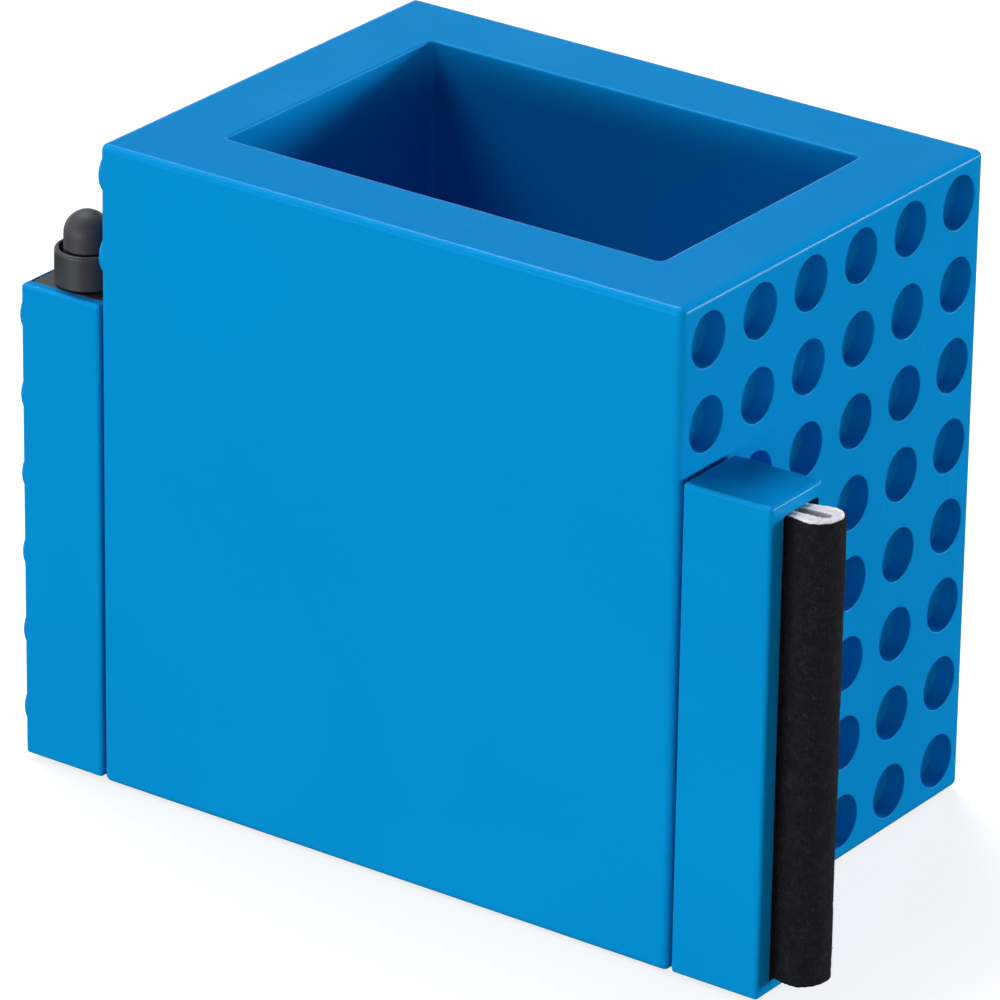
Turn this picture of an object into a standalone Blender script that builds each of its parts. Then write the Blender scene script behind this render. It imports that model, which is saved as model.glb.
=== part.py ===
"""Desk cup with a felt eraser block and a stylus block pressed onto its studded sides.

Frame: +X right, +Y back, +Z up, in metres. The origin is on the table, under the middle of the
whole object. Studs and sockets lie on one square grid, and the sizes of the cup and of both side
blocks follow from its pitch.
"""

import math

import bmesh
import bpy

MM = 0.001

# Driving dimensions: the grid, and what is counted in its cells
PITCH = 12.7 * MM
CUP_COLUMNS, CUP_ROWS_DEEP, CUP_ROWS_HIGH = 8, 6, 8
BLOCK_ROWS_HIGH = 6
CUP_WIDTH = CUP_COLUMNS * PITCH
CUP_DEPTH = CUP_ROWS_DEEP * PITCH
CUP_HEIGHT = CUP_ROWS_HIGH * PITCH
BLOCK_WIDTH = 1.14 * PITCH
BLOCK_DEPTH = PITCH
BLOCK_HEIGHT = BLOCK_ROWS_HIGH * PITCH
BLOCK_LIFT = 0.35 * MM
CORNER_ROUND = 1.1 * MM
BLOCK_ROUND = 0.6 * MM
CLEARANCE = 0.3 * MM

# Studs and sockets
STUD_RADIUS = 4.0 * MM
STUD_HEIGHT = 2.4 * MM
SOCKET_RADIUS = 4.25 * MM
SOCKET_DEPTH = 3.4 * MM
GRID_SIDES = 16

# Cup moulding: double walls, joined by the rim and open underneath
SKIN = 2.4 * MM
SOCKET_WALL = 4.8 * MM
WELL_SKIN = 2.0 * MM
FLOOR_UNDERSIDE = 3.7 * MM
WELL_LOW = (1.015 * PITCH, 1.0 * PITCH)
WELL_HIGH = (7.02 * PITCH, 4.95 * PITCH)

# Base plate, its screws and feet
PLATE_RECESS = 0.4 * MM
POST_SIDE = 8.0 * MM
POST_TOP = 18.0 * MM
SCREW_INSET = 6.4 * MM
SCREW_RADIUS = 1.2 * MM
SCREW_LENGTH = 9.0 * MM
SCREW_HEAD_RADIUS = 2.6 * MM
SCREW_HEAD_HEIGHT = 1.2 * MM
COUNTERBORE_DEPTH = 1.7 * MM
FOOT_RADIUS = 5.0 * MM
FOOT_INSET = 17.0 * MM
FOOT_RECESS = 0.9 * MM
FOOT_PROUD = 0.6 * MM

# Side blocks: the eraser block on the sockets, the stylus block on the studs
ERASER_SEAM = 0.07 * PITCH
STYLUS_SEAM = 0.025 * PITCH
SLOT_LOW, SLOT_HIGH = -0.25 * PITCH, 0.418 * PITCH
SLOT_BOTTOM = 0.17 * PITCH
SLOT_TOP = BLOCK_HEIGHT - 0.18 * PITCH
SLOT_DEPTH = 12.0 * MM

# Felt pad: a strip of felt on foam, folded into a U whose nose stands out of the slot
PAD_CENTRE = 0.033 * PITCH
PAD_NOSE = 0.60 * PITCH
PAD_HALF_WIDTH = 0.275 * PITCH
PAD_HALF_NECK = 0.225 * PITCH
PAD_LEG = 7.5 * MM
FELT_THICKNESS = 0.5 * MM
LAYER_GAP = 0.1 * MM
FOLD_HALF_GAP = 0.063 * PITCH
FOLD_GAP_INSET = 0.15 * PITCH
NOSE_STEPS = 16

# Stylus insert
AXIS_FROM_FACE = 0.55 * PITCH
FLANGE_WIDTH, FLANGE_DEPTH = 1.04 * PITCH, 0.74 * PITCH
FLANGE_THICKNESS = 1.2 * MM
BLOCK_WALL = 1.6 * MM
SPIGOT_LENGTH = 12.0 * MM
STEM_RADIUS = 2.0 * MM
COLLAR_RADIUS, COLLAR_BORE = 4.9 * MM, 4.2 * MM
COLLAR_HEIGHT = 5.7 * MM
TIP_RADIUS, TIP_WALL = 3.52 * MM, 1.2 * MM
TIP_FOOT_TOP = 1.3 * MM
LEDGE_LOW, LEDGE_HIGH = 1.6 * MM, 2.4 * MM
TIP_CENTRE = 7.8 * MM
DOME_STEPS = 6
ROUND_SIDES = 24

# Where things stand in the world
LEFT_REACH = STYLUS_SEAM + BLOCK_WIDTH + STUD_HEIGHT
RIGHT_REACH = ERASER_SEAM + BLOCK_WIDTH + PAD_NOSE
CUP_LEFT = (LEFT_REACH - RIGHT_REACH - CUP_WIDTH) / 2
CUP_RIGHT = CUP_LEFT + CUP_WIDTH
CUP_FRONT = -CUP_DEPTH / 2
CUP_BASE = FOOT_PROUD

BLUE = (0.004, 0.27, 0.62)
BLACK_PLASTIC = (0.035, 0.036, 0.04)
BLACK_RUBBER = (0.03, 0.03, 0.033)
BLACK_FELT = (0.012, 0.012, 0.016)
FOAM_WHITE = (0.78, 0.76, 0.72)
FOOT_GREY = (0.05, 0.05, 0.055)
STEEL = (0.55, 0.56, 0.58)


def clear_scene():
    for thing in list(bpy.data.objects):
        bpy.data.objects.remove(thing, do_unlink=True)


def make_material(name, colour, roughness, metallic=0.0):
    material = bpy.data.materials.new(name)
    material.use_nodes = True
    shader = material.node_tree.nodes["Principled BSDF"]
    shader.inputs["Base Color"].default_value = (*colour, 1.0)
    shader.inputs["Roughness"].default_value = roughness
    shader.inputs["Metallic"].default_value = metallic
    return material


def add_object(name, mesh_builder, parent=None, location=(0, 0, 0)):
    """Close a bmesh into a named object, with its faces pointing out."""
    bmesh.ops.recalc_face_normals(mesh_builder, faces=mesh_builder.faces)
    mesh = bpy.data.meshes.new(name)
    mesh_builder.to_mesh(mesh)
    mesh_builder.free()
    thing = bpy.data.objects.new(name, mesh)
    thing.parent = parent
    thing.location = location
    bpy.context.collection.objects.link(thing)
    return thing


def add_empty(name, location):
    empty = bpy.data.objects.new(name, None)
    empty.location = location
    empty.empty_display_size = PITCH
    bpy.context.collection.objects.link(empty)
    return empty


def box(name, low, high, rounding=0.0, parent=None):
    """A box between two corners; rounding bevels all of its edges."""
    builder = bmesh.new()
    bmesh.ops.create_cube(builder, size=1.0)
    for vertex in builder.verts:
        vertex.co = [
            (a + b) / 2 + (b - a) * side for a, b, side in zip(low, high, vertex.co)
        ]
    if rounding:
        bmesh.ops.bevel(
            builder,
            geom=builder.edges[:],
            offset=rounding,
            segments=2,
            profile=0.5,
            affect="EDGES",
        )
    return add_object(name, builder, parent)


def turned(name, profile, sides=ROUND_SIDES, parent=None, location=(0, 0, 0), loop=False):
    """A body of revolution about Z from (radius, height) points.

    An open profile starts and ends on the axis; with loop=True the profile closes on itself, as a
    ring's does.
    """
    builder = bmesh.new()
    rings = []
    for radius, height in profile:
        if radius == 0:
            rings.append([builder.verts.new((0, 0, height))] * sides)
            continue
        turns = [2 * math.pi * step / sides for step in range(sides)]
        rings.append(
            [builder.verts.new((radius * math.cos(t), radius * math.sin(t), height)) for t in turns]
        )
    pairs = list(zip(rings, rings[1:]))
    if loop:
        pairs.append((rings[-1], rings[0]))
    for lower, upper in pairs:
        for step in range(sides):
            after = (step + 1) % sides
            corners = [lower[step], lower[after], upper[after], upper[step]]
            builder.faces.new(list(dict.fromkeys(corners)))
    return add_object(name, builder, parent, location)


def prism(name, outline, low, high, parent=None):
    """An outline in X and Y, extruded in Z."""
    builder = bmesh.new()
    bottom = [builder.verts.new((x, y, low)) for x, y in outline]
    top = [builder.verts.new((x, y, high)) for x, y in outline]
    builder.faces.new(bottom[::-1])
    builder.faces.new(top)
    for step in range(len(outline)):
        after = (step + 1) % len(outline)
        builder.faces.new([bottom[step], bottom[after], top[after], top[step]])
    return add_object(name, builder, parent)


def disc_grid(name, left, right, radius, columns, rows, y_start=0.0, z_start=0.0, parent=None):
    """Discs about X at the middle of each grid cell, between two X positions."""
    builder = bmesh.new()
    for column in range(columns):
        for row in range(rows):
            y = y_start + (column + 0.5) * PITCH
            z = z_start + (row + 0.5) * PITCH
            ends = []
            for x in (left, right):
                turns = [2 * math.pi * (step + 0.5) / GRID_SIDES for step in range(GRID_SIDES)]
                ends.append(
                    [builder.verts.new((x, y + radius * math.cos(t), z + radius * math.sin(t)))
                     for t in turns]
                )
            builder.faces.new(ends[0][::-1])
            builder.faces.new(ends[1])
            for step in range(GRID_SIDES):
                after = (step + 1) % GRID_SIDES
                builder.faces.new([ends[0][step], ends[0][after], ends[1][after], ends[1][step]])
    return add_object(name, builder, parent)


def boolean(target, guide, operation):
    """Cut a guide out of the target, or join it on; the guide itself isn't part of the model."""
    guide.hide_render = True
    guide.display_type = "WIRE"
    modifier = target.modifiers.new(guide.name, "BOOLEAN")
    modifier.operation = operation
    modifier.solver = "EXACT"
    modifier.object = guide


def cut(target, guide):
    boolean(target, guide, "DIFFERENCE")


def join(target, guide):
    boolean(target, guide, "UNION")


def finish(thing, material, smooth=False):
    thing.data.materials.append(material)
    if smooth:
        thing.data.shade_smooth()
        thing.data.set_sharp_from_angle(angle=math.radians(35))


def corner_points(inset):
    """The four points that lie this far in from the cup's corners, in the cup's own X and Y."""
    return [
        (x, y)
        for x in (inset, CUP_WIDTH - inset)
        for y in (inset, CUP_DEPTH - inset)
    ]


def make_cup_shell(cup, plastic):
    shell = box("cup_shell", (0, 0, 0), (CUP_WIDTH, CUP_DEPTH, CUP_HEIGHT), CORNER_ROUND, cup)
    hollow_high = (CUP_WIDTH - SOCKET_WALL, CUP_DEPTH - SKIN, CUP_HEIGHT - SKIN)
    cut(shell, box("guide_wall_hollow", (SKIN, SKIN, -5 * MM), hollow_high, parent=cup))

    well_low = [side - WELL_SKIN for side in WELL_LOW]
    well_high = [side + WELL_SKIN for side in WELL_HIGH]
    well_top = CUP_HEIGHT - SKIN / 2
    join(shell, box("guide_well_skin", (*well_low, FLOOR_UNDERSIDE), (*well_high, well_top), parent=cup))
    for number, (x, y) in enumerate(corner_points(POST_SIDE / 2 + SKIN - 0.4 * MM), 1):
        if x > CUP_WIDTH / 2:
            x -= SOCKET_WALL - SKIN
        low = (x - POST_SIDE / 2, y - POST_SIDE / 2, FLOOR_UNDERSIDE)
        high = (x + POST_SIDE / 2, y + POST_SIDE / 2, POST_TOP)
        join(shell, box(f"guide_post_{number}", low, high, parent=cup))
    well_floor = FLOOR_UNDERSIDE + WELL_SKIN
    cut(shell, box("guide_well", (*WELL_LOW, well_floor), (*WELL_HIGH, CUP_HEIGHT + 5 * MM), parent=cup))

    for number, (x, y) in enumerate(screw_points(), 1):
        radius = SCREW_RADIUS + CLEARANCE
        hole = [(0, 0), (radius, 0), (radius, POST_TOP - 4 * MM), (0, POST_TOP - 4 * MM)]
        cut(shell, turned(f"guide_pilot_{number}", hole, GRID_SIDES, cup, (x, y, 0)))

    sockets = disc_grid(
        "guide_cup_sockets", CUP_WIDTH - SOCKET_DEPTH, CUP_WIDTH + 5 * MM,
        SOCKET_RADIUS, CUP_ROWS_DEEP, CUP_ROWS_HIGH, parent=cup,
    )
    cut(shell, sockets)
    studs = disc_grid(
        "guide_cup_studs", -STUD_HEIGHT, SKIN / 2,
        STUD_RADIUS, CUP_ROWS_DEEP, CUP_ROWS_HIGH, parent=cup,
    )
    join(shell, studs)
    finish(shell, plastic)


def screw_points():
    """Screw centres in the cup's own X and Y; the socket wall pushes the right pair in."""
    return [
        (x - (SOCKET_WALL - SKIN if x > CUP_WIDTH / 2 else 0), y)
        for x, y in corner_points(SCREW_INSET)
    ]


def make_base_plate(cup, plastic):
    edge = SKIN + CLEARANCE
    low = (edge, edge, PLATE_RECESS)
    high = (CUP_WIDTH - SOCKET_WALL - CLEARANCE, CUP_DEPTH - edge, FLOOR_UNDERSIDE - CLEARANCE)
    plate = box("base_plate", low, high, parent=cup)
    for number, (x, y) in enumerate(screw_points(), 1):
        counterbore = SCREW_HEAD_RADIUS + CLEARANCE
        shank = SCREW_RADIUS + CLEARANCE
        step = PLATE_RECESS + COUNTERBORE_DEPTH
        profile = [
            (0, -5 * MM), (counterbore, -5 * MM), (counterbore, step),
            (shank, step), (shank, 10 * MM), (0, 10 * MM),
        ]
        cut(plate, turned(f"guide_counterbore_{number}", profile, GRID_SIDES, cup, (x, y, 0)))
    for number, (x, y) in enumerate(corner_points(FOOT_INSET), 1):
        radius = FOOT_RADIUS + CLEARANCE
        top = PLATE_RECESS + FOOT_RECESS
        profile = [(0, -5 * MM), (radius, -5 * MM), (radius, top), (0, top)]
        cut(plate, turned(f"guide_foot_seat_{number}", profile, ROUND_SIDES, cup, (x, y, 0)))
    finish(plate, plastic)


def make_base_screws(cup, steel):
    seat = PLATE_RECESS + COUNTERBORE_DEPTH - CLEARANCE
    head_low = seat - SCREW_HEAD_HEIGHT
    tip = seat + SCREW_LENGTH
    profile = [
        (0, head_low),
        (0.75 * SCREW_HEAD_RADIUS, head_low),
        (SCREW_HEAD_RADIUS, head_low + 0.45 * SCREW_HEAD_HEIGHT),
        (SCREW_HEAD_RADIUS, seat),
        (SCREW_RADIUS, seat),
        (SCREW_RADIUS, tip - 1.5 * MM),
        (0, tip),
    ]
    arm, half = 1.3 * MM, 0.3 * MM
    cross = [
        (arm, -half), (arm, half), (half, half), (half, arm), (-half, arm), (-half, half),
        (-arm, half), (-arm, -half), (-half, -half), (-half, -arm), (half, -arm), (half, -half),
    ]
    for number, (x, y) in enumerate(screw_points(), 1):
        screw = turned(f"base_screw_{number}", profile, GRID_SIDES, cup, (x, y, 0))
        guide = prism(f"guide_cross_{number}", cross, head_low - MM, head_low + 0.8 * MM, cup)
        guide.location = (x, y, 0)
        cut(screw, guide)
        finish(screw, steel, smooth=True)


def make_feet(cup, rubber):
    top = PLATE_RECESS + FOOT_RECESS - 0.1 * MM
    chamfer = 0.3 * MM
    profile = [
        (0, -FOOT_PROUD),
        (FOOT_RADIUS - chamfer, -FOOT_PROUD),
        (FOOT_RADIUS, -FOOT_PROUD + chamfer),
        (FOOT_RADIUS, top),
        (0, top),
    ]
    for number, (x, y) in enumerate(corner_points(FOOT_INSET), 1):
        foot = turned(f"foot_{number}", profile, ROUND_SIDES, cup, (x, y, 0))
        finish(foot, rubber, smooth=True)


def make_eraser_block(eraser, plastic):
    """Moulded box, open towards +X, with a column of studs on the face that meets the cup."""
    half = BLOCK_DEPTH / 2
    low, high = (0, -half, BLOCK_LIFT), (BLOCK_WIDTH, half, BLOCK_HEIGHT)
    block = box("eraser_block", low, high, BLOCK_ROUND, eraser)
    slot_floor = BLOCK_WIDTH - SLOT_DEPTH
    slot_low = (slot_floor, SLOT_LOW, SLOT_BOTTOM)
    slot_high = (BLOCK_WIDTH + 5 * MM, SLOT_HIGH, SLOT_TOP)
    cut(block, box("guide_slot", slot_low, slot_high, parent=eraser))
    studs = disc_grid(
        "guide_eraser_studs", -STUD_HEIGHT, MM, STUD_RADIUS, 1, BLOCK_ROWS_HIGH, -half, parent=eraser
    )
    join(block, studs)
    finish(block, plastic)


def make_pad_carrier(eraser, plastic):
    """Insert at the bottom of the slot: its tongue fills the pad's fold, its cheek grips one leg."""
    floor = BLOCK_WIDTH - SLOT_DEPTH + CLEARANCE
    shelf = floor + 3 * MM
    tongue_half = 0.45 * MM
    tongue_tip = BLOCK_WIDTH + 0.25 * PITCH
    cheek_inner = PAD_CENTRE + PAD_HALF_NECK + CLEARANCE
    cheek_tip = BLOCK_WIDTH - 3 * MM
    low, high = SLOT_LOW + CLEARANCE, SLOT_HIGH - CLEARANCE
    outline = [
        (floor, low), (shelf, low),
        (shelf, PAD_CENTRE - tongue_half), (tongue_tip, PAD_CENTRE - tongue_half),
        (tongue_tip, PAD_CENTRE + tongue_half), (shelf, PAD_CENTRE + tongue_half),
        (shelf, cheek_inner), (cheek_tip, cheek_inner), (cheek_tip, high), (floor, high),
    ]
    top = SLOT_TOP - 2.5 * MM
    finish(prism("pad_carrier", outline, SLOT_BOTTOM + CLEARANCE, top, eraser), plastic)


def pad_path(fold, neck, nose_inset):
    """One face of the folded strip, from the front leg's end round the nose to the back leg's.

    The fold is a half circle of radius fold, nose_inset short of the nose. Both legs narrow to
    the half width neck where they enter the slot.
    """
    centre = BLOCK_WIDTH + PAD_NOSE - nose_inset - fold
    leg_end = BLOCK_WIDTH - PAD_LEG
    neck_x = BLOCK_WIDTH
    front = [(leg_end, -neck), (neck_x, -neck)]
    for share in (0.25, 0.5, 0.75):
        ease = share * share * (3 - 2 * share)
        front.append((neck_x + share * (centre - neck_x), -(neck + (fold - neck) * ease)))
    turns = [math.pi * (step / NOSE_STEPS - 0.5) for step in range(NOSE_STEPS + 1)]
    nose = [(centre + fold * math.cos(t), fold * math.sin(t)) for t in turns]
    back = [(x, -y) for x, y in reversed(front)]
    return [(x, PAD_CENTRE + y) for x, y in front + nose + back]


def make_pad(eraser, felt, foam):
    """Felt outside, foam inside, both closed strips of the same fold."""
    low, high = SLOT_BOTTOM + CLEARANCE, SLOT_TOP - CLEARANCE
    faces = [
        pad_path(PAD_HALF_WIDTH - inset, PAD_HALF_NECK - inset, inset)
        for inset in (0, FELT_THICKNESS, FELT_THICKNESS + LAYER_GAP)
    ]
    inside_fold = pad_path(FOLD_HALF_GAP, FOLD_HALF_GAP, FOLD_GAP_INSET)
    cover = faces[0] + faces[1][::-1]
    filling = faces[2] + inside_fold[::-1]
    finish(prism("pad_felt", cover, low, high, eraser), felt, smooth=True)
    finish(prism("pad_foam", filling, low, high, eraser), foam, smooth=True)


def make_stylus_block(stylus, plastic):
    """Moulded box, open at the top, with sockets towards the cup and studs on its outer face."""
    half = BLOCK_DEPTH / 2
    low, high = (-BLOCK_WIDTH, -half, BLOCK_LIFT), (0, half, BLOCK_HEIGHT)
    block = box("stylus_block", low, high, BLOCK_ROUND, stylus)
    seat = BLOCK_HEIGHT - FLANGE_THICKNESS - CLEARANCE
    middle = -BLOCK_WIDTH / 2
    seat_low = (middle - FLANGE_WIDTH / 2, -FLANGE_DEPTH / 2, seat)
    seat_high = (middle + FLANGE_WIDTH / 2, FLANGE_DEPTH / 2, BLOCK_HEIGHT + 5 * MM)
    cut(block, box("guide_flange_seat", seat_low, seat_high, parent=stylus))
    core_low, core_high = stylus_core()
    cut(block, box("guide_stylus_core", (*core_low, BLOCK_WALL), (*core_high, seat + MM), parent=stylus))
    sockets = disc_grid(
        "guide_block_sockets", -SOCKET_DEPTH, 5 * MM, SOCKET_RADIUS, 1, BLOCK_ROWS_HIGH, -half,
        parent=stylus,
    )
    cut(block, sockets)
    studs = disc_grid(
        "guide_block_studs", -BLOCK_WIDTH - STUD_HEIGHT, -BLOCK_WIDTH + MM, STUD_RADIUS,
        1, BLOCK_ROWS_HIGH, -half, parent=stylus,
    )
    join(block, studs)
    finish(block, plastic)


def stylus_core():
    """Lowest and highest X and Y of the hollow inside the stylus block."""
    half = BLOCK_DEPTH / 2 - BLOCK_WALL
    return (-BLOCK_WIDTH + BLOCK_WALL, -half), (-SOCKET_DEPTH - 1.2 * MM, half)


def make_stylus_plug(stylus, plastic):
    """Flange flush with the block's top, a spigot below it, and a stem that carries the tip."""
    top = BLOCK_HEIGHT
    under = top - FLANGE_THICKNESS
    middle = -BLOCK_WIDTH / 2
    wide = FLANGE_WIDTH / 2 - CLEARANCE / 2
    deep = FLANGE_DEPTH / 2 - CLEARANCE / 2
    plug = box("stylus_plug", (middle - wide, -deep, under), (middle + wide, deep, top), parent=stylus)
    core_low, core_high = stylus_core()
    low = (core_low[0] + CLEARANCE, core_low[1] + CLEARANCE, under - SPIGOT_LENGTH)
    high = (core_high[0] - CLEARANCE, core_high[1] - CLEARANCE, top - FLANGE_THICKNESS / 2)
    join(plug, box("guide_spigot", low, high, parent=stylus))
    stem = [(0, -MM), (STEM_RADIUS, -MM), (STEM_RADIUS, COLLAR_HEIGHT), (0, COLLAR_HEIGHT)]
    join(plug, turned("guide_stem", stem, ROUND_SIDES, stylus, (-AXIS_FROM_FACE, 0, top)))
    finish(plug, plastic)


def make_stylus_collar(stylus, plastic):
    """Ring round the tip; the ledge inside it holds the tip's foot down."""
    base = CLEARANCE
    round_over = 0.5 * MM
    ledge_bore = TIP_RADIUS + CLEARANCE
    profile = [
        (COLLAR_BORE, base), (COLLAR_RADIUS, base),
        (COLLAR_RADIUS, COLLAR_HEIGHT - round_over),
        (COLLAR_RADIUS - 0.3 * round_over, COLLAR_HEIGHT - 0.3 * round_over),
        (COLLAR_RADIUS - 0.8 * round_over, COLLAR_HEIGHT),
        (COLLAR_BORE, COLLAR_HEIGHT),
        (COLLAR_BORE, LEDGE_HIGH), (ledge_bore, LEDGE_HIGH),
        (ledge_bore, LEDGE_LOW), (COLLAR_BORE, LEDGE_LOW),
    ]
    place = (-AXIS_FROM_FACE, 0, BLOCK_HEIGHT)
    collar = turned("stylus_collar", profile, ROUND_SIDES, stylus, place, loop=True)
    finish(collar, plastic, smooth=True)


def make_stylus_tip(stylus, rubber):
    """Hollow rubber dome over the stem, with a foot that the collar's ledge holds."""
    base = CLEARANCE
    foot_radius = COLLAR_BORE - 0.2 * MM
    inner = TIP_RADIUS - TIP_WALL
    quarter = [math.pi / 2 * step / DOME_STEPS for step in range(DOME_STEPS + 1)]
    domes = [
        [(radius * math.cos(t), TIP_CENTRE + radius * math.sin(t)) for t in quarter[:-1]]
        + [(0, TIP_CENTRE + radius)]
        for radius in (TIP_RADIUS, inner)
    ]
    foot = [(foot_radius, base), (foot_radius, TIP_FOOT_TOP), (TIP_RADIUS, TIP_FOOT_TOP)]
    place = (-AXIS_FROM_FACE, 0, BLOCK_HEIGHT)
    profile = domes[1][::-1] + [(inner, base)] + foot + domes[0]
    tip = turned("stylus_tip", profile, ROUND_SIDES, stylus, place)
    finish(tip, rubber, smooth=True)


def main():
    clear_scene()
    blue = make_material("blue_plastic", BLUE, 0.28)
    black = make_material("black_plastic", BLACK_PLASTIC, 0.45)
    tip_rubber = make_material("tip_rubber", BLACK_RUBBER, 0.6)
    felt = make_material("felt", BLACK_FELT, 0.95)
    foam = make_material("foam", FOAM_WHITE, 0.9)
    foot_rubber = make_material("foot_rubber", FOOT_GREY, 0.8)
    steel = make_material("screw_steel", STEEL, 0.35, 1.0)

    cup = add_empty("cup_frame", (CUP_LEFT, CUP_FRONT, CUP_BASE))
    block_middle = CUP_FRONT + BLOCK_DEPTH / 2
    eraser = add_empty("eraser_slide", (CUP_RIGHT + ERASER_SEAM, block_middle, CUP_BASE))
    stylus = add_empty("stylus_slide", (CUP_LEFT - STYLUS_SEAM, block_middle, CUP_BASE))

    make_cup_shell(cup, blue)
    make_base_plate(cup, blue)
    make_base_screws(cup, steel)
    make_feet(cup, foot_rubber)
    make_eraser_block(eraser, blue)
    make_pad_carrier(eraser, blue)
    make_pad(eraser, felt, foam)
    make_stylus_block(stylus, blue)
    make_stylus_plug(stylus, black)
    make_stylus_collar(stylus, black)
    make_stylus_tip(stylus, tip_rubber)


main()
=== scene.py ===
"""Looks of a desk cup with a felt eraser block and a stylus block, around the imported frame."""

import math
import random
from itertools import product

import bmesh
import bpy
from mathutils import Matrix, Vector, noise


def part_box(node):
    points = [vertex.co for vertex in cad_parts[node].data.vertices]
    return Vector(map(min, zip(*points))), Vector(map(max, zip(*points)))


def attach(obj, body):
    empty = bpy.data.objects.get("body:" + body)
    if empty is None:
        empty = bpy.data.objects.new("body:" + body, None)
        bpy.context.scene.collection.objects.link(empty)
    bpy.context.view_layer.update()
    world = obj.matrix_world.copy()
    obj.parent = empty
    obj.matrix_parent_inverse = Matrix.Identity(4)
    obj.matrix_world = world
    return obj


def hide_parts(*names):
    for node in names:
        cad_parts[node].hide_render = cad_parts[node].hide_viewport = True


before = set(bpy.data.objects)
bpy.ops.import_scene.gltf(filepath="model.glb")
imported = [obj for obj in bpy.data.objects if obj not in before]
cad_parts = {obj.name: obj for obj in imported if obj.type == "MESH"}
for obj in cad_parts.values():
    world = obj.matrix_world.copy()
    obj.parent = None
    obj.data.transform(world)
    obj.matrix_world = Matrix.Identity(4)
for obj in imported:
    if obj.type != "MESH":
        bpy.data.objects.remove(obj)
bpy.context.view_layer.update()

MM = 0.001

# The grid and the bodies' places, from the frame
CUP_ROWS_DEEP, CUP_ROWS_HIGH, BLOCK_ROWS_HIGH = 6, 8, 6
CUP_NODE_LOW, CUP_NODE_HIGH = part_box("cup_shell")
PITCH = (CUP_NODE_HIGH.z - CUP_NODE_LOW.z) / CUP_ROWS_HIGH
STUD_HEIGHT = 2.4 * MM
SEAM_TRIM = 0.3 * MM  # how much nearer the cup the eraser block's face stands than in the CAD
CUP_LOW = CUP_NODE_LOW + Vector((STUD_HEIGHT, 0, 0))
CUP_HIGH = CUP_NODE_HIGH
ERASER_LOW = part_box("eraser_block")[0] + Vector((STUD_HEIGHT - SEAM_TRIM, 0, 0))
ERASER_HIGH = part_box("eraser_block")[1]
STYLUS_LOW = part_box("stylus_block")[0] + Vector((STUD_HEIGHT, 0, 0))
STYLUS_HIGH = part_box("stylus_block")[1]
PAD_LOW, PAD_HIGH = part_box("pad_felt")

# Moulded edges
EDGE, BLOCK_EDGE = 1.1 * MM, 0.6 * MM
SUPPORT = 0.2 * MM
ARC_STEPS = 6
DISC_SIDES = 40
LOFT_STEPS = 48
CORNER_STEPS, LEAST_CORNER = 5, 0.05 * MM
WELD = 2e-6
CHAMFER, FINE_CHAMFER, EDGE_BREAK = 0.2 * MM, 0.15 * MM, 0.1 * MM

# Studs and sockets
STUD_RADIUS, STUD_EDGE, STUD_FILLET = 4.0 * MM, 0.7 * MM, 0.15 * MM
SOCKET_RADIUS, SOCKET_DEPTH = 4.12 * MM, 3.4 * MM
SOCKET_RIM, SOCKET_FILLET = 0.15 * MM, 0.4 * MM

# Cup well and the hollow between the double walls
SKIN, SOCKET_WALL, WELL_SKIN, FLOOR_UNDERSIDE = 2.4 * MM, 4.8 * MM, 2.0 * MM, 3.7 * MM
WELL_LOW = (1.015 * PITCH, 1.0 * PITCH)
WELL_HIGH = (7.02 * PITCH, 4.95 * PITCH)
WELL_RIM, WELL_CORNER, WELL_FILLET = 0.35 * MM, 0.9 * MM, 1.0 * MM
HOLLOW_CORNER = 0.3 * MM
POST_SIDE, POST_TOP, POST_CORNER, POST_GAP = 8.0 * MM, 18.0 * MM, 0.5 * MM, 0.2 * MM
PILOT_RADIUS, PILOT_END = 1.5 * MM, 4 * MM

# Base plate, screws and feet
PLATE_EDGE = 0.35 * MM
COUNTERBORE_RADIUS, COUNTERBORE_DEPTH, SHANK_BORE = 2.9 * MM, 1.7 * MM, 1.5 * MM
FOOT_SEAT_RADIUS, FOOT_SEAT_DEPTH = 5.3 * MM, 0.9 * MM
CUTTER_SIDES = 48
SCREW_SHANK, SCREW_SEAT, SCREW_DOME, SCREW_POINT = 1.2 * MM, 1.2 * MM, 0.75 * MM, 1.5 * MM
THREAD_PITCH, THREAD_ROOT = 0.5 * MM, 0.8
THREAD_START, THREAD_RISE, THREAD_CREST_END = 0.3 * MM, 0.2 * MM, 0.25 * MM
CROSS_ARMS = ((1.3, 0.3), (0.29, 1.31))  # half sizes of the recess's two arms, in millimetres
CROSS_TAPER = ((1.0, -1.0 * MM), (1.0, 0.0), (0.45, 0.85 * MM))
FOOT_EDGE, FOOT_DISH = 0.35 * MM, 0.12 * MM
FOOT_HOLLOW = ((0.0, 1.0), (0.5, 1.0), (0.72, 0.4), (0.8, 0.0))  # shares of radius and of dish depth

# Eraser block's slot, in the block's own Y and Z
SLOT_LOW, SLOT_HIGH = (-0.25 * PITCH, 0.17 * PITCH), (0.418 * PITCH, 5.82 * PITCH)
SLOT_DEPTH, SLOT_RIM, SLOT_CORNER, SLOT_FILLET = 12.0 * MM, 0.2 * MM, 0.5 * MM, 0.4 * MM

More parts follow.
